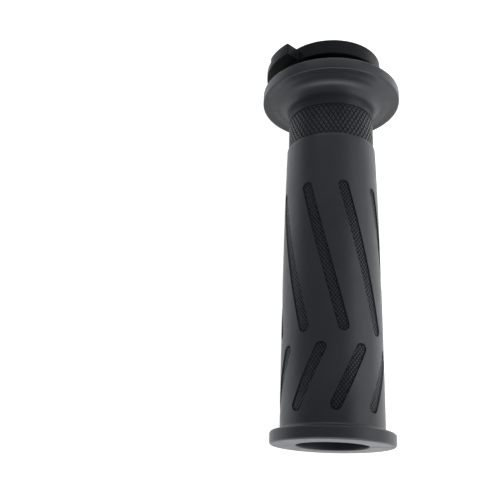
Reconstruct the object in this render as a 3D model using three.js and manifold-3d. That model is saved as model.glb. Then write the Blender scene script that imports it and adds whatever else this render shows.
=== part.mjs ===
// Throttle grip for a 22 mm motorcycle handlebar.
// A moulded rubber grip is bonded on a plastic throttle tube, whose inboard end is the cable drum.
//
// Millimetres, +Z up. The handlebar's axis is the Y axis. The outboard end face is y = 0,
// and +Y runs inboard, towards the cable drum. Angles round the bar go from +Z towards +X.

import * as THREE from 'three';
import { mergeVertices } from 'three/addons/utils/BufferGeometryUtils.js';
import Module from 'manifold-3d';

// ---- Driving dimensions ----

const ROUND_SEGMENTS = 48;
const ARC_SEGMENTS = 12;
const SEAT_SEGMENTS = 24;
const GROOVE_END_SEGMENTS = 10;
const NEST_GAP = 0.3; // between the rubber and the tube inside it
const CUT_MARGIN = 1.0; // how far each cutter runs past the faces that it cuts

// Throttle tube
const BAR_BORE_RADIUS = 11.3; // turns freely on a bar of 22.2 mm
const TUBE_RADIUS = 12.5;
const TUBE_START = 2.9; // set back behind the rubber's mouth
const COLLAR_RADIUS = 15.5; // the rubber butts against this collar
const COLLAR_WIDTH = 1.6;
const NECK_RADIUS = 14.0; // the switch housing's lip runs here
const DRUM_RADIUS = 19.5;
const DRUM_START = 141.4;
const DRUM_WIDTH = 6.0;
const HUB_RADIUS = 14.5; // thrust ring on the drum's inboard face
const HUB_HEIGHT = 0.6;
const TUBE_CHAMFER = 0.4;

// Cable boss: a raised sector of the drum in two tiers, the lower one with the cable's seat
const BOSS_RADIUS = 25.3;
const BOSS_ROOT_RADIUS = 15.0; // inside the drum's rim
const BOSS_START = 141.9;
const LOW_TIER_WIDTH = 2.9;
const HIGH_TIER_WIDTH = 4.7;
const BOSS_FROM = -46;
const HIGH_TIER_TO = -73;
const LOW_TIER_TO = -118;
const CABLE_SEAT_ANGLE = -90;
const CABLE_SEAT_CENTRE_RADIUS = 21.3;
const CABLE_SEAT_RADIUS = 2.7;
const CABLE_SEAT_DEPTH = 2.0; // the seat is blind, and open on the inboard side
const CABLE_SLOT_WIDTH = 2.0;

// Rubber grip
const MOUTH_RADIUS = 12.25;
const MOUTH_DEPTH = 2.6;
const MOUTH_CHAMFER = 0.4;
const RING_RADIUS = 21.0;
const RING_WIDTH = 4.4;
const RING_EDGE = 0.9;
const RING_FILLET = 1.4;
const BODY_RADIUS = 17.6; // at the end ring
const BODY_TAPER = 1.0; // lost by the band, as a cubic along the body
const BAND_START = 109.0;
const BAND_END = 121.8;
const BAND_RADIUS = 16.1;
const BAND_STEP = 0.3; // length of the steps into the band
const FLANGE_NECK_RADIUS = 16.4;
const FLANGE_FILLET = 4.4;
const FLANGE_FACE = 130.1;
const FLANGE_DISH = 0.25;
const FLANGE_RADIUS = 26.5;
const FLANGE_OUTBOARD_EDGE = 0.5;
const FLANGE_INBOARD_EDGE = 0.6;
const FLANGE_BACK = 134.6;
const BACK_LIP_WIDTH = 1.9;
const BACK_RECESS = 0.8;

// Grooves in the body: two rows of eight, slanting opposite ways
const GROOVE_COUNT = 8;
const GROOVE_WIDTH = 3.8;
const GROOVE_DEPTH = 0.8;
const LONG_GROOVE = { inboard: 90.0, outboard: 35.0, inboardAngle: -38.0, outboardAngle: 8.0 };
const SHORT_GROOVE = { inboard: 31.5, outboard: 9.3, inboardAngle: -15.5, outboardAngle: -50.5 };
const GROOVE_STEPS = 5;

// ---- Solids ----

const wasm = await Module();
wasm.setup();

function toSolid(geometry) {
  const bare = geometry.clone();
  bare.deleteAttribute('normal');
  bare.deleteAttribute('uv');
  const merged = mergeVertices(bare);
  const mesh = new wasm.Mesh({
    numProp: 3,
    vertProperties: new Float32Array(merged.attributes.position.array),
    triVerts: new Uint32Array(merged.index.array),
  });
  mesh.merge();
  return new wasm.Manifold(mesh);
}

function toGeometry(solid) {
  const mesh = solid.getMesh();
  const geometry = new THREE.BufferGeometry();
  geometry.setAttribute('position', new THREE.BufferAttribute(mesh.vertProperties, 3));
  geometry.setIndex(new THREE.BufferAttribute(mesh.triVerts, 1));
  geometry.computeVertexNormals();
  return geometry;
}

// An arc in the (radius, y) half plane. Angles in degrees: 0 points outwards, 90 inboard.
function arc(radius, y, size, from, to, steps = 5) {
  const points = [];
  for (let i = 0; i <= steps; i += 1) {
    const angle = THREE.MathUtils.degToRad(from + ((to - from) * i) / steps);
    points.push([radius + size * Math.cos(angle), y + size * Math.sin(angle)]);
  }
  return points;
}

// A ring of revolution round the bar's axis, from a profile of [radius, y] points.
function revolve(profile) {
  const points = [...profile, profile[0]].map(([radius, y]) => new THREE.Vector2(radius, y));
  return new THREE.LatheGeometry(points, ROUND_SEGMENTS);
}

// ---- Throttle tube ----

function tubeProfile() {
  const drumEnd = DRUM_START + DRUM_WIDTH;
  const hubEnd = drumEnd + HUB_HEIGHT;
  const collarStart = FLANGE_BACK - BACK_RECESS + NEST_GAP;
  const collarEnd = collarStart + COLLAR_WIDTH;
  return [
    [BAR_BORE_RADIUS + TUBE_CHAMFER, TUBE_START],
    [TUBE_RADIUS - TUBE_CHAMFER, TUBE_START],
    [TUBE_RADIUS, TUBE_START + TUBE_CHAMFER],
    [TUBE_RADIUS, collarStart],
    [COLLAR_RADIUS, collarStart],
    [COLLAR_RADIUS, collarEnd],
    [NECK_RADIUS, collarEnd],
    [NECK_RADIUS, DRUM_START],
    [DRUM_RADIUS - TUBE_CHAMFER, DRUM_START],
    [DRUM_RADIUS, DRUM_START + TUBE_CHAMFER],
    [DRUM_RADIUS, drumEnd - TUBE_CHAMFER],
    [DRUM_RADIUS - TUBE_CHAMFER, drumEnd],
    [HUB_RADIUS, drumEnd],
    [HUB_RADIUS, hubEnd],
    [BAR_BORE_RADIUS + TUBE_CHAMFER, hubEnd],
    [BAR_BORE_RADIUS, hubEnd - TUBE_CHAMFER],
    [BAR_BORE_RADIUS, TUBE_START + TUBE_CHAMFER],
  ];
}

// A plate in the XZ plane that starts at y and is as thick as width, from a shape drawn in X and Z.
function plate(shape, y, width) {
  const geometry = new THREE.ExtrudeGeometry(shape, {
    depth: width,
    bevelEnabled: false,
    curveSegments: ARC_SEGMENTS,
  });
  return geometry.rotateX(Math.PI / 2).translate(0, y + width, 0);
}

// A tier of the boss: a sector between two angles, from inside the drum out to the boss's radius.
function bossTier(to, width) {
  const start = THREE.MathUtils.degToRad(90 - BOSS_FROM);
  const end = THREE.MathUtils.degToRad(90 - to);
  const shape = new THREE.Shape();
  shape.absarc(0, 0, BOSS_RADIUS, start, end, false);
  shape.absarc(0, 0, BOSS_ROOT_RADIUS, end, start, true);
  return plate(shape, BOSS_START, width);
}

// The round seat of the cable's nipple, and the slot that leads its cable out of the far wall.
function cableKeyhole() {
  const angle = THREE.MathUtils.degToRad(CABLE_SEAT_ANGLE);
  const x = CABLE_SEAT_CENTRE_RADIUS * Math.sin(angle);
  const z = CABLE_SEAT_CENTRE_RADIUS * Math.cos(angle);
  const cutWidth = CABLE_SEAT_DEPTH + CUT_MARGIN;
  const floor = BOSS_START + LOW_TIER_WIDTH - CABLE_SEAT_DEPTH;
  const seat = new THREE.CylinderGeometry(
    CABLE_SEAT_RADIUS,
    CABLE_SEAT_RADIUS,
    cutWidth,
    SEAT_SEGMENTS,
  );
  seat.translate(x, floor + cutWidth / 2, z);
  const slot = new THREE.BoxGeometry(CABLE_SLOT_WIDTH, cutWidth, BOSS_RADIUS);
  slot.translate(x, floor + cutWidth / 2, z - BOSS_RADIUS / 2);
  return toSolid(seat).add(toSolid(slot));
}

function throttleTube() {
  const bareBoss = toSolid(bossTier(LOW_TIER_TO, LOW_TIER_WIDTH))
    .add(toSolid(bossTier(HIGH_TIER_TO, HIGH_TIER_WIDTH)))
    .subtract(cableKeyhole());
  return toGeometry(toSolid(revolve(tubeProfile())).add(bareBoss));
}

// ---- Rubber grip ----

const BODY_START = RING_WIDTH + RING_FILLET;

function bodyRadius(y) {
  const along = (y - BODY_START) / (BAND_START - BODY_START);
  return BODY_RADIUS - BODY_TAPER * along ** 3;
}

function bodyProfile() {
  const steps = 4;
  const points = [];
  for (let i = 1; i <= steps; i += 1) {
    const y = BODY_START + ((BAND_START - BODY_START) * i) / steps;
    points.push([bodyRadius(y), y]);
  }
  return points;
}

function gripProfile() {
  const boreRadius = TUBE_RADIUS + NEST_GAP;
  const faceStart = FLANGE_NECK_RADIUS + FLANGE_FILLET;
  const faceEnd = FLANGE_RADIUS - FLANGE_OUTBOARD_EDGE;
  const backEdge = FLANGE_RADIUS - FLANGE_INBOARD_EDGE;
  return [
    [MOUTH_RADIUS + MOUTH_CHAMFER, 0],
    ...arc(RING_RADIUS - RING_EDGE, RING_EDGE, RING_EDGE, -90, 0, 3),
    ...arc(RING_RADIUS - RING_EDGE, RING_WIDTH - RING_EDGE, RING_EDGE, 0, 90, 3),
    ...arc(BODY_RADIUS + RING_FILLET, RING_WIDTH + RING_FILLET, RING_FILLET, 270, 180, 3),
    ...bodyProfile(),
    [BAND_RADIUS, BAND_START + BAND_STEP],
    [BAND_RADIUS, BAND_END],
    [FLANGE_NECK_RADIUS, BAND_END + BAND_STEP],
    ...arc(faceStart, FLANGE_FACE - FLANGE_FILLET, FLANGE_FILLET, 180, 90, 5),
    [(faceStart + faceEnd) / 2, FLANGE_FACE + FLANGE_DISH],
    ...arc(faceEnd, FLANGE_FACE + FLANGE_OUTBOARD_EDGE, FLANGE_OUTBOARD_EDGE, -90, 0, 3),
    ...arc(backEdge, FLANGE_BACK - FLANGE_INBOARD_EDGE, FLANGE_INBOARD_EDGE, 0, 90, 2),
    [backEdge - BACK_LIP_WIDTH, FLANGE_BACK],
    [backEdge - BACK_LIP_WIDTH - BACK_RECESS, FLANGE_BACK - BACK_RECESS],
    [boreRadius, FLANGE_BACK - BACK_RECESS],
    [boreRadius, MOUTH_DEPTH],
    [MOUTH_RADIUS, MOUTH_DEPTH],
    [MOUTH_RADIUS, MOUTH_CHAMFER],
  ];
}

// Bends a flat cutter round the body. Flat x is the way round, y the length and z the height.
function wrapOnBody(geometry, groove, turn) {
  const position = geometry.attributes.position;
  const slope = (groove.inboardAngle - groove.outboardAngle) / (groove.inboard - groove.outboard);
  for (let i = 0; i < position.count; i += 1) {
    const y = position.getY(i);
    const surface = bodyRadius(y);
    const centre = groove.outboardAngle + turn + slope * (y - groove.outboard);
    const angle = THREE.MathUtils.degToRad(centre) + position.getX(i) / surface;
    const radius = surface + position.getZ(i);
    position.setXYZ(i, radius * Math.sin(angle), y, radius * Math.cos(angle));
  }
  return geometry;
}

// A straight slot with round ends, cut a groove's depth into the body.
function grooveCutter(groove, turn) {
  const half = GROOVE_WIDTH / 2;
  const height = GROOVE_DEPTH + CUT_MARGIN;
  const middle = (CUT_MARGIN - GROOVE_DEPTH) / 2;
  const straight = groove.inboard - groove.outboard - GROOVE_WIDTH;
  const centre = (groove.inboard + groove.outboard) / 2;
  const bar = new THREE.BoxGeometry(GROOVE_WIDTH, straight, height, 2, GROOVE_STEPS, 1);
  bar.translate(0, centre, middle);
  const ends = [-1, 1].map((side) => {
    const end = new THREE.CylinderGeometry(half, half, height, GROOVE_END_SEGMENTS);
    end.rotateX(Math.PI / 2).translate(0, centre + (side * straight) / 2, middle);
    return toSolid(wrapOnBody(end, groove, turn));
  });
  return ends.reduce((solid, end) => solid.add(end), toSolid(wrapOnBody(bar, groove, turn)));
}

function rubberGrip() {
  let solid = toSolid(revolve(gripProfile()));
  for (let i = 0; i < GROOVE_COUNT; i += 1) {
    const turn = (360 / GROOVE_COUNT) * i;
    for (const groove of [LONG_GROOVE, SHORT_GROOVE]) {
      solid = solid.subtract(grooveCutter(groove, turn));
    }
  }
  return toGeometry(solid);
}

// ---- Assembly ----

function part(name, geometry, material) {
  const mesh = new THREE.Mesh(geometry, new THREE.MeshStandardMaterial(material));
  mesh.name = name;
  return mesh;
}

const throttleGrip = new THREE.Group();
throttleGrip.add(
  part('throttle_tube', throttleTube(), { color: 0x17181a, roughness: 0.4, metalness: 0 }),
  part('rubber_grip', rubberGrip(), { color: 0x26282c, roughness: 0.6, metalness: 0 }),
);

export default throttleGrip;
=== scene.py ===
"""The look of a throttle grip: a fine rubber moulding on a fine throttle tube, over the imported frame."""

import math

import bmesh
import bpy
import numpy as np
from mathutils import Matrix, Vector
from mathutils.geometry import delaunay_2d_cdt


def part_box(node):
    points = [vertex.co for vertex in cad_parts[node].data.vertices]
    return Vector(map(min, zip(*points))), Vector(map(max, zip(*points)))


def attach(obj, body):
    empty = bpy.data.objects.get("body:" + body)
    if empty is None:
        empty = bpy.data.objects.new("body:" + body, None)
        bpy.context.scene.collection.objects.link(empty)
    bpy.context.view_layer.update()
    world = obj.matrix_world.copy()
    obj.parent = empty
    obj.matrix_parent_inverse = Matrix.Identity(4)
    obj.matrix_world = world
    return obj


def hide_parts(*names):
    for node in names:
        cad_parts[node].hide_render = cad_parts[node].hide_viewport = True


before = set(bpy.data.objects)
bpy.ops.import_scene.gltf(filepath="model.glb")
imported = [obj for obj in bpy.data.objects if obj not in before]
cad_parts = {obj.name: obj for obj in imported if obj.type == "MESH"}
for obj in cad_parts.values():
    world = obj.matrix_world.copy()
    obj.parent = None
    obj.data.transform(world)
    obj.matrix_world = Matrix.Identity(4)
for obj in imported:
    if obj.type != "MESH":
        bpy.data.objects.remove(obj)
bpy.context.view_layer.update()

MM = 0.001  # every size below is in millimetres, as in the CAD

# ---- Sizes shared with the CAD ----

grip_low, grip_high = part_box("rubber_grip")
tube_low, tube_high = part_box("throttle_tube")
GRIP_LENGTH = (grip_high.y - grip_low.y) / MM
FLANGE_RADIUS = grip_high.z / MM
DRUM_RADIUS = tube_high.z / MM
HUB_END = tube_high.y / MM
TUBE_START = tube_low.y / MM

NEST_GAP = 0.3
TUBE_RADIUS = 12.5
BAR_BORE_RADIUS = 11.3
MOUTH_RADIUS = 12.25
MOUTH_DEPTH = 2.6
LIP_EDGE = 0.4  # rounding of the rubber's mouth and of the tube's ends
RING_RADIUS = 21.0
RING_WIDTH = 4.4
RING_EDGE = 0.9
RING_FILLET = 1.4
BODY_RADIUS = 17.6
BODY_TAPER = 1.0
BODY_START = RING_WIDTH + RING_FILLET
BAND_START = 109.0
BAND_END = 121.8
BAND_STEP = 0.3
FLANGE_NECK_RADIUS = 16.4
FLANGE_FILLET = 4.4
FLANGE_FACE = 130.1
FLANGE_DISH = 0.25
FLANGE_OUTBOARD_EDGE = 0.5
FLANGE_INBOARD_EDGE = 0.6
BACK_LIP_WIDTH = 1.9
BACK_RECESS = 0.8

# ---- Fine detail of the rubber ----

BAND_VALLEY_RADIUS = 15.8
BAND_KNURL_HEIGHT = 0.3
BAND_DIAMONDS_AROUND = 56
BAND_DIAMONDS_ALONG = 4
BAND_MARGIN = 0.2  # plain strip between the knurl and each step
BAND_FLAT_SHARE = 0.68  # of each diamond's width that is its flat top
BAND_CUT_SHIFT = 0.08  # slope of the half diamonds' cut faces, as a share of half a diamond
BAND_TOP_WEAR = 0.0
# painted shade in the band's valleys and on its floor strips
BAND_VALLEY_SHADE = -0.4
GROOVE_COUNT = 8
GROOVE_WIDTH = 3.8
GROOVE_DEPTH = 0.7
GROOVE_WALL_INSIDE = (0.0, 0.1, 0.16)  # distance from the groove's edge, down its wall
GROOVE_WALL_SHARE = (0.0, 0.88, 1.0)  # share of the depth at each of them
KNURL_INSET = 0.17  # from the groove's edge to its knurl
KNURL_AROUND = 1.3  # diamond sizes of the fine knurl in the grooves
KNURL_ALONG = 1.6
KNURL_HEIGHT = 0.26
KNURL_FLAT_SHARE = 0.55  # of each diamond's width that is its flat top
# painted shade on the grooves' floors
GROOVE_FLOOR_SHADE = -0.3
GROOVE_TOP_WEAR = 0.05
PARTING_RIDGE = 0.07  # height of the ridge that the mould's parting line leaves
PARTING_ANGLE = 76  # the other parting line is opposite
PARTING_HALF_ANGLE = 0.8

# How closely the unrolled body is triangulated
RING_SPACING = 1.2  # along the grooves' edges
LAND_SPACING = 1.5  # on the plain land between them
BORDER_SPACING = 1.6  # along the border between two periods
BORDER_COLUMNS = (-52, -43)  # the lathe columns where it meets the ring's fillet and the band
BORDER_RUN_OUT = 14  # length of its straight end at the band
PARTING_STEPS = 72
LAND_ANGLES = (-75, 32)  # degrees: wide enough for one period and its slanting sides
BORDER_CLEARANCE = 0.7  # plain land's corners keep this far from each other line
GROOVE_CLEARANCE = 1.3
PARTING_CLEARANCE = 0.8

# Each groove: its ends along the bar, and the angles of its axis there.
LONG_GROOVE = dict(inboard=90.0, outboard=35.0, inboard_angle=-38.0, outboard_angle=8.0)
SHORT_GROOVE = dict(inboard=31.5, outboard=9.3, inboard_angle=-15.5, outboard_angle=-50.5)

PERIOD = 360 / GROOVE_COUNT
PERIOD_COLUMNS = 32
COLUMN_STEP = PERIOD / PERIOD_COLUMNS
MEAN_BODY_RADIUS = 17.2
UNROLL = MEAN_BODY_RADIUS * math.pi / 180  # millimetres round the body to a degree


def period_columns():
    """Column angles over one period: even, apart from three that follow a parting line's ridge."""
    ridge = PARTING_ANGLE % PERIOD
    even = [i * COLUMN_STEP for i in range(PERIOD_COLUMNS)]
    clear = [a for a in even if abs(a - ridge) > 1.4 * PARTING_HALF_ANGLE]
    return sorted(clear + [ridge - PARTING_HALF_ANGLE, ridge, ridge + PARTING_HALF_ANGLE])


COLUMNS = np.array([k * PERIOD + a for k in range(GROOVE_COUNT) for a in period_columns()])


# ---- Mesh building ----

MERGE_DISTANCE = 1e-3  # of corners that the triangulation takes as one
SHARP_ANGLE = math.radians(35)  # faces that meet at more than this keep a crisp edge


class Surface:
    """Patches that are welded into one closed mesh. Positions are in millimetres."""

    def __init__(self):
        self.points = []
        self.faces = []
        self.wear_and_shade = []
        self.count = 0

    def add(self, points, faces, wear_and_shade):
        """Adds a patch. Its value per point is above 0 on rubbed edges, and below 0 in valleys and
        recesses, where it paints shade.
        """
        self.points.append(points)
        self.wear_and_shade.append(np.broadcast_to(wear_and_shade, len(points)).astype(float))
        self.faces.extend([[self.count + i for i in face] for face in faces])
        self.count += len(points)

    def add_lathe(self, profile, columns=COLUMNS, wear_and_shade=0.0, lift=None):
        """Revolves a profile of (radius, y) points. lift raises it along its normals by angle."""
        profile = np.array(profile, float)
        rows, across = len(profile), len(columns)
        tangent = np.gradient(profile, axis=0)
        normal = np.stack([tangent[:, 1], -tangent[:, 0]], 1)
        normal /= np.maximum(np.linalg.norm(normal, axis=1, keepdims=True), 1e-9)
        raised = np.zeros((1, across)) if lift is None else lift(columns)[None, :]
        raised = raised * ramp_in_and_out(rows)[:, None]
        radius = profile[:, :1] + normal[:, :1] * raised
        y = profile[:, 1:] + normal[:, 1:] * raised
        points = on_bar(radius.ravel(), np.tile(columns, rows), y.ravel())
        faces = []
        for row in range(rows - 1):
            for i in range(across):
                j = (i + 1) % across
                a, b = row * across, (row + 1) * across
                faces.append([a + i, b + i, b + j, a + j])
        wear_and_shade = np.repeat(np.broadcast_to(wear_and_shade, rows), across)
        self.add(points, faces, wear_and_shade)

    def to_object(self, name, weld=1e-3):
        """Welds the patches, turns their faces outwards and makes an object of them."""
        mesh = bpy.data.meshes.new(name)
        mesh.from_pydata((np.concatenate(self.points) * MM).tolist(), [], self.faces)
        wear_and_shade = mesh.attributes.new("wear_and_shade", "FLOAT", "POINT")
        wear_and_shade.data.foreach_set("value", np.concatenate(self.wear_and_shade).astype(np.float32))
        bm = bmesh.new()
        bm.from_mesh(mesh)
        bmesh.ops.remove_doubles(bm, verts=bm.verts, dist=weld * MM)
        bmesh.ops.recalc_face_normals(bm, faces=bm.faces)
        for face in bm.faces:
            face.smooth = True
        bm.to_mesh(mesh)
        bm.free()
        piece = bpy.data.objects.new(name, mesh)
        bpy.context.scene.collection.objects.link(piece)
        return piece


def ramp_in_and_out(rows):
    """1 along a strip of rows and 0 on its first and last, where it meets its neighbours."""
    share = np.ones(rows)
    share[0] = share[-1] = 0
    return share


def on_bar(radius, angle, y):
    """Points at a radius and an angle (degrees from +Z towards +X) round the bar's axis."""
    radians = np.radians(angle)
    return np.stack([radius * np.sin(radians), y * np.ones_like(radians), radius * np.cos(radians)], 1)


def arc(radius, y, size, start, end, steps=6):
    """An arc in the (radius, y) half plane; 0 degrees points outwards and 90 inboard."""
    angles = np.radians(np.linspace(start, end, steps + 1))
    return [(radius + size * math.cos(a), y + size * math.sin(a)) for a in angles]


def smooth(low, high, value):
    """Eases from 0 at low to 1 at high."""
    t = np.clip((value - low) / (high - low), 0, 1)
    return t * t * (3 - 2 * t)


def triangulate(border, lines, dots):
    """Triangles inside a clockwise border, with the segments in lines as edges and the dots as corners."""
    corners = list(border)
    edges = []
    for a, b in lines:
        edges.append((len(corners), len(corners) + 1))
        corners += [a, b]
    corners += list(dots)
    loop = list(range(len(border)))[::-1]
    found = delaunay_2d_cdt([Vector(c) for c in corners], edges, [loop], 1, MERGE_DISTANCE)
    places, faces, sources = found[0], found[2], found[5]
    kept = [list(face) for face, source in zip(faces, sources) if source]
    return np.array([tuple(v) for v in places]), kept


def polyline(points, closed=False):
    """The segments of a line through the points."""
    ends = points[1:] + points[:1] if closed else points[1:]
    return list(zip(points, ends))


# ---- Rubber grip ----

def parting_ridge(angle):
    """Height of the two parting lines' ridges at each angle."""
    away = np.abs((angle - PARTING_ANGLE + 90) % 180 - 90)
    return PARTING_RIDGE * np.clip(1 - away / PARTING_HALF_ANGLE, 0, 1)


def body_radius(y):
    """Radius of the plain body, which tapers towards the band."""
    along = (y - BODY_START) / (BAND_START - BODY_START)
    return BODY_RADIUS - BODY_TAPER * along ** 3


def groove_axis(groove):
    """Ends of a groove's straight axis on the unrolled body."""
    half = GROOVE_WIDTH / 2
    slope = (groove["inboard_angle"] - groove["outboard_angle"]) / (groove["inboard"] - groove["outboard"])
    ends = []
    for y in (groove["outboard"] + half, groove["inboard"] - half):
        angle = groove["outboard_angle"] + slope * (y - groove["outboard"])
        ends.append(np.array([angle * UNROLL, y]))
    return ends


def depth_inside(groove, points):
    """How far inside a groove's outline each point is; negative outside."""
    start, end = groove_axis(groove)
    axis = end - start
    share = np.clip(((points - start) @ axis) / (axis @ axis), 0, 1)
    nearest = start + share[:, None] * axis
    return GROOVE_WIDTH / 2 - np.linalg.norm(points - nearest, axis=1)


def groove_ring(groove, inside):
    """The groove's outline moved inwards, as a closed list of points."""
    start, end = groove_axis(groove)
    size = GROOVE_WIDTH / 2 - inside
    axis = (end - start) / np.linalg.norm(end - start)
    side = np.array([axis[1], -axis[0]])
    round_steps = 12
    straight_steps = int(np.linalg.norm(end - start) / RING_SPACING)
    ring = []
    for centre, other, way in ((end, start, 1), (start, end, -1)):
        for i in range(round_steps + 1):
            turn = math.pi * i / round_steps
            ring.append(centre + way * size * (side * math.cos(turn) + axis * math.sin(turn)))
        for i in range(1, straight_steps):
            along = centre + (other - centre) * i / straight_steps
            ring.append(along - way * size * side)
    return [tuple(p) for p in ring]


def knurl(points):
    """0 in the valleys of the grooves' diamond knurl, and 1 on the diamonds' flat tops."""
    s = points[:, 0] / KNURL_AROUND + points[:, 1] / KNURL_ALONG
    t = points[:, 0] / KNURL_AROUND - points[:, 1] / KNURL_ALONG
    from_valley = 2 * np.minimum(np.abs(s - np.round(s)), np.abs(t - np.round(t)))
    return np.minimum(from_valley / (1 - KNURL_FLAT_SHARE), 1)


def body_height(points):
    """Height over the plain body, down in the grooves and up on their knurl, and the value that paints
    shade on the grooves' floors.
    """
    height = np.zeros(len(points))
    wear_and_shade = np.zeros(len(points))
    for groove in (LONG_GROOVE, SHORT_GROOVE):
        inside = depth_inside(groove, points)
        share = np.interp(inside, GROOVE_WALL_INSIDE, GROOVE_WALL_SHARE)
        peak = (inside > KNURL_INSET) * knurl(points)
        height += KNURL_HEIGHT * peak - GROOVE_DEPTH * share
        # painted shade on the grooves' floors, with none on their knurl tops
        wear_and_shade += share * (GROOVE_FLOOR_SHADE + (GROOVE_TOP_WEAR - GROOVE_FLOOR_SHADE) * peak)
    return height, wear_and_shade


def part_inside(groove, segment):
    """The part of a segment that is inside the groove's knurled floor."""
    start, end = np.array(segment)
    spots = start + np.linspace(0, 1, 9)[:, None] * (end - start)
    inner = spots[depth_inside(groove, spots) > KNURL_INSET]
    return [(tuple(inner[0]), tuple(inner[-1]))] if len(inner) > 1 else []


def flat_top(x, y):
    """The four sides of the flat top of a diamond of the fine knurl."""
    across, along = KNURL_FLAT_SHARE * KNURL_AROUND / 2, KNURL_FLAT_SHARE * KNURL_ALONG / 2
    return polyline([(x + across, y), (x, y + along), (x - across, y), (x, y - along)], closed=True)


def knurl_lattice(groove):
    """Every valley segment and diamond centre of the knurl in a box round a groove."""
    axis = np.array(groove_axis(groove))
    half = np.array([KNURL_AROUND, KNURL_ALONG]) / 2
    first = np.floor((axis.min(axis=0) - GROOVE_WIDTH) / half).astype(int)
    last = np.ceil((axis.max(axis=0) + GROOVE_WIDTH) / half).astype(int)
    segments, peaks = [], []
    for i in range(first[0], last[0] + 1):
        for j in range(first[1], last[1] + 1):
            place = (i * half[0], j * half[1])
            if (i + j) % 2:
                peaks.append(place)
            else:
                segments += [(place, ((i + way) * half[0], (j + 1) * half[1])) for way in (-1, 1)]
    return segments, peaks


def period_border():
    """The left side of one period of the body: it keeps midway between neighbouring grooves."""
    half = PERIOD / 2
    first, last = (column * COLUMN_STEP * UNROLL for column in BORDER_COLUMNS)
    corners = [(first, BODY_START), (first, SHORT_GROOVE["outboard"] - GROOVE_CLEARANCE)]
    for groove in (SHORT_GROOVE, LONG_GROOVE):
        for y, angle in (("outboard", "outboard_angle"), ("inboard", "inboard_angle")):
            corners.append(((groove[angle] - half) * UNROLL, groove[y]))
    corners += [(last, BAND_START - BORDER_RUN_OUT), (last, BAND_START)]
    points = []
    for (x0, y0), (x1, y1) in zip(corners, corners[1:]):
        steps = max(1, round(math.hypot(x1 - x0, y1 - y0) / BORDER_SPACING))
        points += [(x0 + (x1 - x0) * i / steps, y0 + (y1 - y0) * i / steps) for i in range(steps)]
    return points + [corners[-1]]


def end_row(start, y):
    """The lathe's columns across one period, without the two corners."""
    first = start / UNROLL
    spots = [k * PERIOD + a for k in range(-3, 3) for a in period_columns()]
    inner = [a for a in spots if first + 0.01 < a < first + PERIOD - 0.01]
    return [(a * UNROLL, y) for a in sorted(inner)]


def body_period():
    """Triangles of one period of the grooved body, on the unrolled surface."""
    left = period_border()
    width = PERIOD * UNROLL
    right = [(x + width, y) for x, y in left]
    border = left + end_row(left[-1][0], BAND_START) + right[::-1] + end_row(left[0][0], BODY_START)[::-1]
    lines = []
    for spot in parting_spots():
        for beside in (-PARTING_HALF_ANGLE, 0, PARTING_HALF_ANGLE):
            x = (spot + beside) * UNROLL
            lines += polyline([(x, y) for y in np.linspace(BODY_START, BAND_START, PARTING_STEPS)])
    dots = []
    for groove in (LONG_GROOVE, SHORT_GROOVE):
        for inside in GROOVE_WALL_INSIDE:
            lines += polyline(groove_ring(groove, inside), closed=True)
        dots += groove_ring(groove, -0.5 * RING_SPACING)
        valleys, peaks = knurl_lattice(groove)
        for segment in valleys + [side for x, y in peaks for side in flat_top(x, y)]:
            lines += part_inside(groove, segment)
    return triangulate(border, lines, dots + land_dots())


def land_dots():
    """A loose triangular grid on the plain land between the grooves."""
    dots = []
    for row, y in enumerate(np.arange(BODY_START + LAND_SPACING, BAND_START - 1, LAND_SPACING)):
        shift = LAND_SPACING / 2 if row % 2 else 0
        for x in np.arange(LAND_ANGLES[0] * UNROLL, LAND_ANGLES[1] * UNROLL, LAND_SPACING):
            dots.append((x + shift, y))
    dots = np.array(dots)
    edge = np.array(period_border())
    left = np.interp(dots[:, 1], edge[:, 1], edge[:, 0])
    right = left + PERIOD * UNROLL
    clear = (dots[:, 0] > left + BORDER_CLEARANCE) & (dots[:, 0] < right - BORDER_CLEARANCE)
    for groove in (LONG_GROOVE, SHORT_GROOVE):
        clear &= depth_inside(groove, dots) < -GROOVE_CLEARANCE
    for spot in parting_spots():
        clear &= np.abs(dots[:, 0] - spot * UNROLL) > PARTING_CLEARANCE
    return [tuple(p) for p in dots[clear]]


def parting_spots():
    """Where a parting line can cross the period that is drawn."""
    return [PARTING_ANGLE % PERIOD - k * PERIOD for k in (0, 1, 2)]


def add_body(surface):
    """The grooved body: one unrolled period, wrapped round the bar once for each groove."""
    flat, faces = body_period()
    height, wear_and_shade = body_height(flat)
    for k in range(GROOVE_COUNT):
        angle = flat[:, 0] / UNROLL + k * PERIOD
        fade = smooth(0, 1, np.minimum(flat[:, 1] - BODY_START, BAND_START - flat[:, 1]))
        radius = body_radius(flat[:, 1]) + height + parting_ridge(angle) * fade
        surface.add(on_bar(radius, angle, flat[:, 1]), faces, wear_and_shade)


def add_band_strip(surface, first, first_y, second, second_y):
    """Triangles on the band's floor between two rings of points that stand at different angles."""
    first, second = [*first, first[0] + 360], [*second, second[0] + 360]
    rings = [
        on_bar(BAND_VALLEY_RADIUS, np.array(angles), y)
        for angles, y in ((first, first_y), (second, second_y))
    ]
    faces = []
    i, j = 0, 0
    while i < len(first) - 1 or j < len(second) - 1:
        advance_first = j == len(second) - 1 or (i < len(first) - 1 and first[i + 1] <= second[j + 1])
        corner = len(first) + j
        if advance_first:
            faces.append([i, i + 1, corner])
            i += 1
        else:
            faces.append([i, corner + 1, corner])
            j += 1
    # the band's floor strips get painted shade
    surface.add(np.concatenate(rings), faces, BAND_VALLEY_SHADE)


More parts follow.
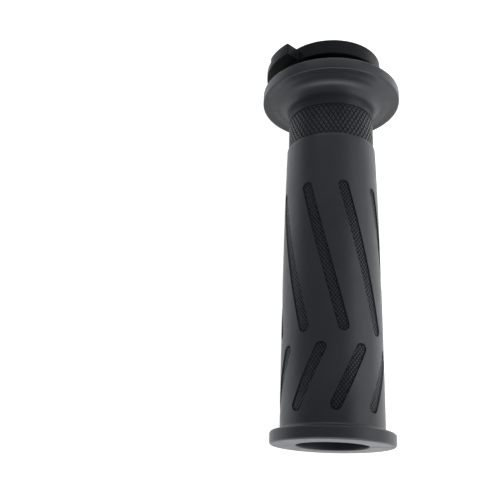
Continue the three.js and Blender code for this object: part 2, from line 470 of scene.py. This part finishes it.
def add_diamond(surface, angle, y, half_angle, half_length, corners, shift):
    """A raised diamond, or half of one: a flat top, and a sloping side down to each valley."""
    count = len(corners)
    valley = np.array(corners, float)
    top = valley * BAND_FLAT_SHARE + [0, shift]
    flat = np.concatenate([valley, top])
    radius = np.repeat([BAND_VALLEY_RADIUS, BAND_VALLEY_RADIUS + BAND_KNURL_HEIGHT], count)
    points = on_bar(radius, angle + flat[:, 0] * half_angle, y + flat[:, 1] * half_length)
    faces = [list(range(count, 2 * count))]
    for i in range(count):
        j = (i + 1) % count
        faces.append([i, j, count + j, count + i])
    # painted shade at the valley corners, none on the flat top
    surface.add(points, faces, np.repeat([BAND_VALLEY_SHADE, BAND_TOP_WEAR], count))


def add_band(surface):
    """The knurled band: rows of raised diamonds, with half diamonds against both steps."""
    start, end = BAND_START + BAND_STEP, BAND_END
    low, high = start + BAND_MARGIN, end - BAND_MARGIN
    half_angle = 180 / BAND_DIAMONDS_AROUND
    half_length = (high - low) / BAND_DIAMONDS_ALONG / 2
    last_row = 2 * BAND_DIAMONDS_ALONG
    whole = [(-1, 0), (0, -1), (1, 0), (0, 1)]
    for row in range(last_row + 1):
        corners, shift = whole, 0
        if row == 0:
            corners, shift = [(-1, 0), (1, 0), (0, 1)], BAND_CUT_SHIFT
        elif row == last_row:
            corners, shift = [(-1, 0), (0, -1), (1, 0)], -BAND_CUT_SHIFT
        for i in range(BAND_DIAMONDS_AROUND):
            angle = half_angle * (2 * i + (row + 1) % 2)
            add_diamond(surface, angle, low + row * half_length, half_angle, half_length, corners, shift)
    tips = [2 * half_angle * i for i in range(BAND_DIAMONDS_AROUND)]
    add_band_strip(surface, COLUMNS, start, tips, low)
    add_band_strip(surface, tips, high, COLUMNS, end)


def ring_profile():
    """From the mouth, over the end ring, to the start of the body."""
    return [
        (MOUTH_RADIUS, MOUTH_DEPTH),
        (MOUTH_RADIUS, MOUTH_DEPTH / 2),
        *arc(MOUTH_RADIUS + LIP_EDGE, LIP_EDGE, LIP_EDGE, 180, 270, 4),
        (MOUTH_RADIUS + 3 * LIP_EDGE, 0),
        ((MOUTH_RADIUS + RING_RADIUS) / 2, 0),
        (RING_RADIUS - 2, 0),
        *arc(RING_RADIUS - RING_EDGE, RING_EDGE, RING_EDGE, -90, 0, 7),
        (RING_RADIUS, RING_WIDTH / 2),
        *arc(RING_RADIUS - RING_EDGE, RING_WIDTH - RING_EDGE, RING_EDGE, 0, 90, 7),
        *arc(BODY_RADIUS + RING_FILLET, BODY_START, RING_FILLET, 270, 180, 7),
    ]


def flange_profile():
    """From the band's inboard step, up the neck, over the flange and back to the bore."""
    face_start = FLANGE_NECK_RADIUS + FLANGE_FILLET
    face_end = FLANGE_RADIUS - FLANGE_OUTBOARD_EDGE
    back_edge = FLANGE_RADIUS - FLANGE_INBOARD_EDGE
    recess_start = back_edge - BACK_LIP_WIDTH
    bore = TUBE_RADIUS + NEST_GAP
    recess = GRIP_LENGTH - BACK_RECESS
    dish = [
        (face_start + (face_end - face_start) * t, FLANGE_FACE + FLANGE_DISH * math.sin(math.pi * t) ** 2)
        for t in (0.15, 0.3, 0.45, 0.6, 0.75, 0.9)
    ]
    return [
        (BAND_VALLEY_RADIUS, BAND_END),
        (FLANGE_NECK_RADIUS, BAND_END + 0.12),
        (FLANGE_NECK_RADIUS, BAND_END + 1.2),
        (FLANGE_NECK_RADIUS, FLANGE_FACE - FLANGE_FILLET - 0.8),
        *arc(face_start, FLANGE_FACE - FLANGE_FILLET, FLANGE_FILLET, 180, 90, 16),
        *dish,
        *arc(face_end, FLANGE_FACE + FLANGE_OUTBOARD_EDGE, FLANGE_OUTBOARD_EDGE, -90, 0, 8),
        *arc(back_edge, GRIP_LENGTH - FLANGE_INBOARD_EDGE, FLANGE_INBOARD_EDGE, 0, 90, 5),
        (recess_start + 0.1, GRIP_LENGTH),
        (recess_start - 0.1, GRIP_LENGTH - 0.15),
        (recess_start - 0.5, recess + 0.1),
        (recess_start - 0.9, recess),
        (bore + 1, recess),
        (bore + 0.2, recess),
        (bore, recess - 0.3),
        (bore, 60),
        (bore, MOUTH_DEPTH),
        (MOUTH_RADIUS, MOUTH_DEPTH),
    ]


def flange_ridge(angle):
    """The parting lines' ridges, lower on the flange than on the body."""
    return parting_ridge(angle) * 0.8


def rubber_grip():
    """The whole rubber moulding, from the mouth to the flange's back and the bore."""
    surface = Surface()
    surface.add_lathe(ring_profile(), lift=parting_ridge)
    add_body(surface)
    edge = BODY_RADIUS - BODY_TAPER
    inboard_step = [
        (edge, BAND_START),
        (edge - 0.03, BAND_START + 0.12),
        (edge - 0.15, BAND_START + 0.2),
        (BAND_VALLEY_RADIUS + 0.1, BAND_START + BAND_STEP - 0.02),
        (BAND_VALLEY_RADIUS, BAND_START + BAND_STEP),
    ]
    # paler rubbed edge on the step, and painted shade in the corner at its foot
    surface.add_lathe(inboard_step, wear_and_shade=[0.6, 0.8, 0.4, -0.6, -0.8])
    add_band(surface)
    surface.add_lathe(flange_profile(), lift=flange_ridge)
    piece = surface.to_object("rubber_grip_skin")
    piece.data.set_sharp_from_angle(angle=SHARP_ANGLE)
    return piece


# ---- Throttle tube ----

COLLAR_RADIUS = 15.5
COLLAR_WIDTH = 1.6
NECK_RADIUS = 14.0
DRUM_START = 141.4
DRUM_END = 147.4
HUB_RADIUS = 14.5
WEB_RADIUS = 17.0  # midway up the drum's side faces
DRUM_EDGE = 0.22
COLLAR_EDGE = 0.2
COLLAR_BEVEL = 0.3  # between the tube and the collar, under the rubber
COLLAR_FILLET = 0.5
DRUM_FILLET = 0.8
HUB_FILLET = 0.3
HUB_EDGE = 0.2
BORE_MIDDLE = 70
BOSS_RADIUS = 25.3
BOSS_START = 141.9
BOSS_EDGE = 0.18
LOW_TIER_WIDTH = 2.9
HIGH_TIER_WIDTH = 4.7
BOSS_FROM = -46
HIGH_TIER_TO = -73
LOW_TIER_TO = -118
CABLE_SEAT_ANGLE = -90
CABLE_SEAT_CENTRE_RADIUS = 21.3
CABLE_SEAT_RADIUS = 2.7
CABLE_SLOT_WIDTH = 2.0
CABLE_SEAT_DEPTH = 2.0
CUT_MARGIN = 1.0


def tier_outline(width):
    """Outline of a boss tier over the drum's surface, always with the same number of points."""
    top = BOSS_RADIUS - BOSS_EDGE
    end = BOSS_START + width
    full_end = BOSS_START + HIGH_TIER_WIDTH
    faces = np.linspace(DRUM_RADIUS, top, 4)
    out = [(r, BOSS_START) for r in faces[:-1]]
    out += arc(top, BOSS_START + BOSS_EDGE, BOSS_EDGE, -90, 0, 4)
    out += arc(top, end - BOSS_EDGE, BOSS_EDGE, 0, 90, 4)
    out += [(r, end) for r in faces[-2::-1]]
    out += [(DRUM_RADIUS, end + (full_end - end) * t) for t in (0.5, 1)]
    return np.array(out)


def plain_outline():
    """The same number of points on the bare drum."""
    count = len(tier_outline(HIGH_TIER_WIDTH))
    y = np.linspace(BOSS_START, BOSS_START + HIGH_TIER_WIDTH, count)
    return np.stack([np.full(count, DRUM_RADIUS), y], 1)


# How a wall of the boss rises from the drum: degrees past its foot, and share of its height.
WALL_ANGLES = (-1.6, -0.8, -0.35, -0.1, 0.0, 0.05, 0.2, 0.5, 0.9)
WALL_SHARES = (0.0, 0.02, 0.08, 0.2, 0.5, 0.93, 0.985, 1.0, 1.0)


def drum_outline(angle):
    """The drum's outline at an angle: bare, low tier, high tier or part way up a wall."""
    plain, low, high = plain_outline(), tier_outline(LOW_TIER_WIDTH), tier_outline(HIGH_TIER_WIDTH)
    rise = np.interp(BOSS_FROM - angle, WALL_ANGLES, WALL_SHARES)
    drop = np.interp(HIGH_TIER_TO - angle, WALL_ANGLES, WALL_SHARES)
    fall = np.interp(angle - LOW_TIER_TO, WALL_ANGLES, WALL_SHARES)
    tier = high + (low - high) * drop
    return plain + (tier - plain) * min(rise, fall)


def tube_outline(angle):
    """The tube's closed section at an angle."""
    collar_start = GRIP_LENGTH - BACK_RECESS + NEST_GAP
    collar_end = collar_start + COLLAR_WIDTH
    bore = BAR_BORE_RADIUS
    return [
        *arc(bore + LIP_EDGE, TUBE_START + LIP_EDGE, LIP_EDGE, 180, 270, 3),
        *arc(TUBE_RADIUS - LIP_EDGE, TUBE_START + LIP_EDGE, LIP_EDGE, -90, 0, 3),
        (TUBE_RADIUS, BORE_MIDDLE),
        (TUBE_RADIUS, collar_start - COLLAR_BEVEL),
        (TUBE_RADIUS + COLLAR_BEVEL, collar_start),
        *arc(COLLAR_RADIUS - COLLAR_EDGE, collar_start + COLLAR_EDGE, COLLAR_EDGE, -90, 0, 3),
        *arc(COLLAR_RADIUS - COLLAR_EDGE, collar_end - COLLAR_EDGE, COLLAR_EDGE, 0, 90, 3),
        *arc(NECK_RADIUS + COLLAR_FILLET, collar_end + COLLAR_FILLET, COLLAR_FILLET, 270, 180, 4),
        *arc(NECK_RADIUS + DRUM_FILLET, DRUM_START - DRUM_FILLET, DRUM_FILLET, 180, 90, 5),
        (WEB_RADIUS, DRUM_START),
        *arc(DRUM_RADIUS - DRUM_EDGE, DRUM_START + DRUM_EDGE, DRUM_EDGE, -90, 0, 4),
        *[tuple(p) for p in drum_outline(angle)],
        *arc(DRUM_RADIUS - DRUM_EDGE, DRUM_END - DRUM_EDGE, DRUM_EDGE, 0, 90, 4),
        (WEB_RADIUS, DRUM_END),
        *arc(HUB_RADIUS + HUB_FILLET, DRUM_END + HUB_FILLET, HUB_FILLET, 270, 180, 3),
        *arc(HUB_RADIUS - HUB_EDGE, HUB_END - HUB_EDGE, HUB_EDGE, 0, 90, 3),
        *arc(bore + LIP_EDGE, HUB_END - LIP_EDGE, LIP_EDGE, 90, 180, 4),
        (bore, BORE_MIDDLE),
    ]


def tube_columns():
    """Even columns, with closer ones at each wall of the boss."""
    even = np.arange(-180, 180, 2.0)
    walls = [BOSS_FROM - a for a in WALL_ANGLES] + [HIGH_TIER_TO - a for a in WALL_ANGLES]
    walls += [LOW_TIER_TO + a for a in WALL_ANGLES]
    clear = [a for a in even if min(abs(a - w) for w in walls) > 0.3]
    return np.array(sorted(clear + walls))


def bare_tube():
    """The tube's own mesh, before the cable's seat is cut."""
    columns = tube_columns()
    sections = np.array([tube_outline(a) for a in columns])
    across, rows = sections.shape[:2]
    points = on_bar(sections[..., 0].ravel(), np.repeat(columns, rows), sections[..., 1].ravel())
    faces = []
    for i in range(across):
        j = (i + 1) % across
        for row in range(rows):
            below = (row + 1) % rows
            faces.append([i * rows + row, i * rows + below, j * rows + below, j * rows + row])
    surface = Surface()
    surface.add(points, faces, 0.0)
    return surface.to_object("throttle_tube_body", weld=2e-3)


def keyhole_cutter():
    """The cable nipple's seat and the slot that leads its cable out of the boss's far wall."""
    angle = math.radians(CABLE_SEAT_ANGLE)
    centre_x = CABLE_SEAT_CENTRE_RADIUS * math.sin(angle)
    centre_z = CABLE_SEAT_CENTRE_RADIUS * math.cos(angle)
    half = CABLE_SLOT_WIDTH / 2
    mouth = math.asin(half / CABLE_SEAT_RADIUS)
    outline = [(centre_x + half, centre_z - BOSS_RADIUS)]
    steps = 28
    for i in range(steps + 1):
        turn = -math.pi / 2 + mouth + (2 * math.pi - 2 * mouth) * i / steps
        x = centre_x + CABLE_SEAT_RADIUS * math.cos(turn)
        z = centre_z + CABLE_SEAT_RADIUS * math.sin(turn)
        outline.append((x, z))
    outline.append((centre_x - half, centre_z - BOSS_RADIUS))
    bm = bmesh.new()
    floor = BOSS_START + LOW_TIER_WIDTH - CABLE_SEAT_DEPTH
    near = [bm.verts.new((x * MM, floor * MM, z * MM)) for x, z in outline]
    face = bm.faces.new(near)
    grown = bmesh.ops.extrude_face_region(bm, geom=[face])
    moved = [v for v in grown["geom"] if isinstance(v, bmesh.types.BMVert)]
    bmesh.ops.translate(bm, verts=moved, vec=(0, (CABLE_SEAT_DEPTH + CUT_MARGIN) * MM, 0))
    bmesh.ops.recalc_face_normals(bm, faces=bm.faces)
    mesh = bpy.data.meshes.new("keyhole")
    bm.to_mesh(mesh)
    bm.free()
    cutter = bpy.data.objects.new("keyhole", mesh)
    bpy.context.scene.collection.objects.link(cutter)
    return cutter


def throttle_tube():
    """The tube with its drum and boss, and the cable's seat cut into the boss."""
    piece = bare_tube()
    cutter = keyhole_cutter()
    cut = piece.modifiers.new("seat", "BOOLEAN")
    cut.operation = "DIFFERENCE"
    cut.solver = "EXACT"
    cut.object = cutter
    apply_modifiers(piece)
    bpy.data.objects.remove(cutter)
    piece.data.set_sharp_from_angle(angle=SHARP_ANGLE)
    return piece


def apply_modifiers(piece):
    """Keeps a piece's evaluated mesh and drops its modifiers."""
    depsgraph = bpy.context.evaluated_depsgraph_get()
    mesh = bpy.data.meshes.new_from_object(piece.evaluated_get(depsgraph))
    piece.modifiers.clear()
    piece.data = mesh


# ---- Materials ----

RUBBER_DARK = (0.0098, 0.0107, 0.0142)
RUBBER_LIGHT = (0.0130, 0.0141, 0.0184)
RUBBER_GRAIN = (0.022, 0.023, 0.027)
RUBBER_RUBBED = (0.028, 0.029, 0.034)
# painted shade for the band's valleys, the grooves' floors and the foot of the band's step
RUBBER_PAINTED_SHADE = (0.006, 0.0064, 0.0076)
PLASTIC_DARK = (0.0045, 0.0047, 0.0054)
PLASTIC_LIGHT = (0.0070, 0.0073, 0.0082)
PLASTIC_SCUFFED = (0.016, 0.0165, 0.018)
FLOOR_TONES = ((0.86, 0.86, 0.86), (0.90, 0.90, 0.90))
FLOOR_HALF_FADE = 0.12  # metres each side of the grip over which the floor's light rises
FLOOR_LIGHT = (0.6, 0.95)  # from the left side to the right


class Nodes:
    """Short calls for a material's node tree."""

    def __init__(self, name):
        self.material = bpy.data.materials.new(name)
        self.material.use_nodes = True
        self.tree = self.material.node_tree
        self.shader = self.tree.nodes["Principled BSDF"]
        place = self.tree.nodes.new("ShaderNodeTexCoord")
        self.place = place.outputs["Object"]

    def link(self, source, target):
        self.tree.links.new(source, target)

    def noise(self, scale, detail=3.0, roughness=0.5, stretch=(1, 1, 1)):
        mapping = self.tree.nodes.new("ShaderNodeMapping")
        mapping.inputs["Scale"].default_value = stretch
        self.link(self.place, mapping.inputs["Vector"])
        node = self.tree.nodes.new("ShaderNodeTexNoise")
        node.inputs["Scale"].default_value = scale
        node.inputs["Detail"].default_value = detail
        node.inputs["Roughness"].default_value = roughness
        self.link(mapping.outputs["Vector"], node.inputs["Vector"])
        return node.outputs["Fac"]

    def attribute(self, name):
        node = self.tree.nodes.new("ShaderNodeAttribute")
        node.attribute_name = name
        return node.outputs["Fac"]

    def math(self, operation, a, b):
        node = self.tree.nodes.new("ShaderNodeMath")
        node.operation = operation
        for socket, value in zip(node.inputs, (a, b)):
            if isinstance(value, (int, float)):
                socket.default_value = value
            else:
                self.link(value, socket)
        return node.outputs[0]

    def remap(self, value, low, high, to_low, to_high):
        node = self.tree.nodes.new("ShaderNodeMapRange")
        node.inputs["From Min"].default_value = low
        node.inputs["From Max"].default_value = high
        node.inputs["To Min"].default_value = to_low
        node.inputs["To Max"].default_value = to_high
        self.link(value, node.inputs["Value"])
        return node.outputs["Result"]

    def mix(self, share, a, b):
        node = self.tree.nodes.new("ShaderNodeMix")
        node.data_type = "RGBA"
        self.link(share, node.inputs["Factor"])
        for socket, value in ((node.inputs[6], a), (node.inputs[7], b)):
            if isinstance(value, tuple):
                socket.default_value = (*value, 1)
            else:
                self.link(value, socket)
        return node.outputs[2]

    def bump(self, height, strength, distance, below=None):
        node = self.tree.nodes.new("ShaderNodeBump")
        node.inputs["Strength"].default_value = strength
        node.inputs["Distance"].default_value = distance
        self.link(height, node.inputs["Height"])
        if below is not None:
            self.link(below, node.inputs["Normal"])
        return node.outputs["Normal"]


def rubber_material():
    """Charcoal moulded rubber: satin, finely grained, paler on rubbed edges, with painted shade that
    darkens the valleys and recesses.
    """
    n = Nodes("grip_rubber_fine")
    mottle = n.remap(n.noise(70, 4, 0.6), 0.35, 0.65, 0, 1)
    colour = n.mix(mottle, RUBBER_DARK, RUBBER_LIGHT)
    grain = n.remap(n.noise(2600, 2, 0.5), 0.4, 0.75, 0, 0.35)
    colour = n.mix(grain, colour, RUBBER_GRAIN)
    wear_and_shade = n.attribute("wear_and_shade")
    patchy = n.remap(n.noise(420, 4, 0.7), 0.35, 0.7, 0.3, 1)
    edge = n.math("MULTIPLY", n.remap(wear_and_shade, 0.1, 1.0, 0, 0.6), patchy)
    colour = n.mix(edge, colour, RUBBER_RUBBED)
    # Painted shade: a darker colour where the value is below 0, in the band's valleys, the grooves' floors
    # and the foot of the band's step.
    painted_shade = n.math("MULTIPLY", n.remap(wear_and_shade, -1.0, -0.2, 0.5, 0), patchy)
    colour = n.mix(painted_shade, colour, RUBBER_PAINTED_SHADE)
    n.link(colour, n.shader.inputs["Base Color"])
    rough = n.remap(n.noise(160, 5, 0.65), 0.3, 0.7, 0.36, 0.45)
    rough = n.math("SUBTRACT", rough, n.math("MULTIPLY", edge, 0.12))
    n.link(rough, n.shader.inputs["Roughness"])
    grit = n.bump(n.noise(5200, 2, 0.6), 0.25, 0.00006)
    soft = n.bump(n.noise(330, 3, 0.5), 0.25, 0.00012, grit)
    n.link(soft, n.shader.inputs["Normal"])
    n.shader.inputs["Specular IOR Level"].default_value = 0.42
    return n.material


def plastic_material():
    """Black moulded nylon: a dull skin with an even fine grain, and scuffs round the bar's axis."""
    n = Nodes("tube_plastic_fine")
    mottle = n.remap(n.noise(90, 3, 0.5), 0.35, 0.65, 0, 1)
    colour = n.mix(mottle, PLASTIC_DARK, PLASTIC_LIGHT)
    scuff = n.remap(n.noise(900, 4, 0.7, (1, 14, 1)), 0.58, 0.75, 0, 0.5)
    colour = n.mix(scuff, colour, PLASTIC_SCUFFED)
    n.link(colour, n.shader.inputs["Base Color"])
    rough = n.remap(n.noise(260, 4, 0.6), 0.3, 0.7, 0.38, 0.50)
    n.link(n.math("ADD", rough, n.math("MULTIPLY", scuff, 0.2)), n.shader.inputs["Roughness"])
    n.shader.inputs["Specular IOR Level"].default_value = 0.12
    grain = n.bump(n.noise(3800, 2, 0.5), 0.2, 0.00005)
    n.link(grain, n.shader.inputs["Normal"])
    return n.material


def floor_material():
    """A plain white floor, lit from below like a photographer's light table."""
    n = Nodes("pale_floor")
    tone = n.remap(n.noise(6, 2, 0.5), 0.3, 0.7, 0, 1)
    n.link(n.mix(tone, *FLOOR_TONES), n.shader.inputs["Base Color"])
    n.shader.inputs["Roughness"].default_value = 0.9
    n.shader.inputs["Specular IOR Level"].default_value = 0.1
    n.shader.inputs["Emission Color"].default_value = (1, 1, 1, 1)
    side = n.tree.nodes.new("ShaderNodeSeparateXYZ")
    n.link(n.place, side.inputs["Vector"])
    light = n.remap(side.outputs["X"], -FLOOR_HALF_FADE, FLOOR_HALF_FADE, *FLOOR_LIGHT)
    n.link(light, n.shader.inputs["Emission Strength"])
    return n.material


# ---- Pieces ----

def dress(piece, material, node):
    """Gives a piece its material, and puts it in the place of a CAD node."""
    piece.data.materials.clear()
    piece.data.materials.append(material)
    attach(piece, "root")
    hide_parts(node)


dress(rubber_grip(), rubber_material(), "rubber_grip")
dress(throttle_tube(), plastic_material(), "throttle_tube")


# ---- Stage ----

FLOOR_HALF_SIZE = 3.0  # metres
FLOOR_GAP = 0.1  # millimetres under the end ring
FLANGE_RIM_DEPTH = 1.5  # from the flange's back to where its rim meets the floor
PANEL_TARGET = (0, 0.07, 0)  # metres: the middle of the grip
SKY_COLOUR = (0.88, 0.935, 1, 1)
SKY_STRENGTH = 0.42
CAMERA_LENS = 56.25
CAMERA_SENSOR = 36
CAMERA_TILT = math.radians(68.43)  # below the level
CAMERA_TURN = math.radians(2.27)  # about the upright line through the pivot
CAMERA_PIVOT = Vector((0, 60, 0))
CAMERA_PLACE = Vector((-32.92, -27.55, 255.66))  # before the turn about the pivot


def make_floor():
    """A plain floor that slopes as the line from the end ring to the flange's rim does."""
    ring_y, rim_y = RING_WIDTH / 2, GRIP_LENGTH - FLANGE_RIM_DEPTH
    slope = math.atan2(FLANGE_RADIUS - RING_RADIUS, rim_y - ring_y)
    mesh = bpy.data.meshes.new("floor")
    edge = FLOOR_HALF_SIZE
    corners = [(-edge, -edge, 0), (edge, -edge, 0), (edge, edge, 0), (-edge, edge, 0)]
    mesh.from_pydata(corners, [], [[0, 1, 2, 3]])
    floor = bpy.data.objects.new("floor", mesh)
    bpy.context.scene.collection.objects.link(floor)
    floor.rotation_euler = (-slope, 0, 0)
    floor.location = (0, ring_y * MM, -(RING_RADIUS + FLOOR_GAP) * MM)
    mesh.materials.append(floor_material())


def area_light(name, place, width, height, power):
    """A soft panel that faces the middle of the grip; metres and watts."""
    light = bpy.data.lights.new(name, "AREA")
    light.shape = "RECTANGLE"
    light.size = width
    light.size_y = height
    light.energy = power
    holder = bpy.data.objects.new(name, light)
    holder.location = place
    holder.rotation_euler = (Vector(PANEL_TARGET) - Vector(place)).to_track_quat("-Z", "Y").to_euler()
    bpy.context.scene.collection.objects.link(holder)


def make_light():
    """A soft dim sky, and weak panels to the right, in front and behind; the floor lights the rest."""
    area_light("right_panel", (1.3, 0.1, 0.7), width=1.8, height=1.2, power=10)
    area_light("front_panel", (0.2, -1.5, 0.42), width=2.4, height=0.5, power=19)
    area_light("back_panel", (0.0, 1.2, 0.7), width=1.6, height=0.4, power=4.5)
    world = bpy.data.worlds.new("studio")
    world.use_nodes = True
    background = world.node_tree.nodes["Background"]
    background.inputs["Color"].default_value = SKY_COLOUR
    background.inputs["Strength"].default_value = SKY_STRENGTH
    bpy.context.scene.world = world
    bpy.context.scene.view_settings.view_transform = "Standard"


def make_camera():
    """Looks steeply down on the grip from above its outboard end."""
    lens = bpy.data.cameras.new("camera")
    lens.sensor_width = CAMERA_SENSOR
    lens.lens = CAMERA_LENS
    lens.clip_start = 0.01
    camera = bpy.data.objects.new("camera", lens)
    turn = Matrix.Rotation(CAMERA_TURN, 3, "Z")
    camera.location = (turn @ (CAMERA_PLACE - CAMERA_PIVOT) + CAMERA_PIVOT) * MM
    camera.rotation_euler = (math.pi / 2 - CAMERA_TILT, 0, CAMERA_TURN)
    bpy.context.scene.collection.objects.link(camera)
    bpy.context.scene.camera = camera


make_floor()
make_light()
make_camera()
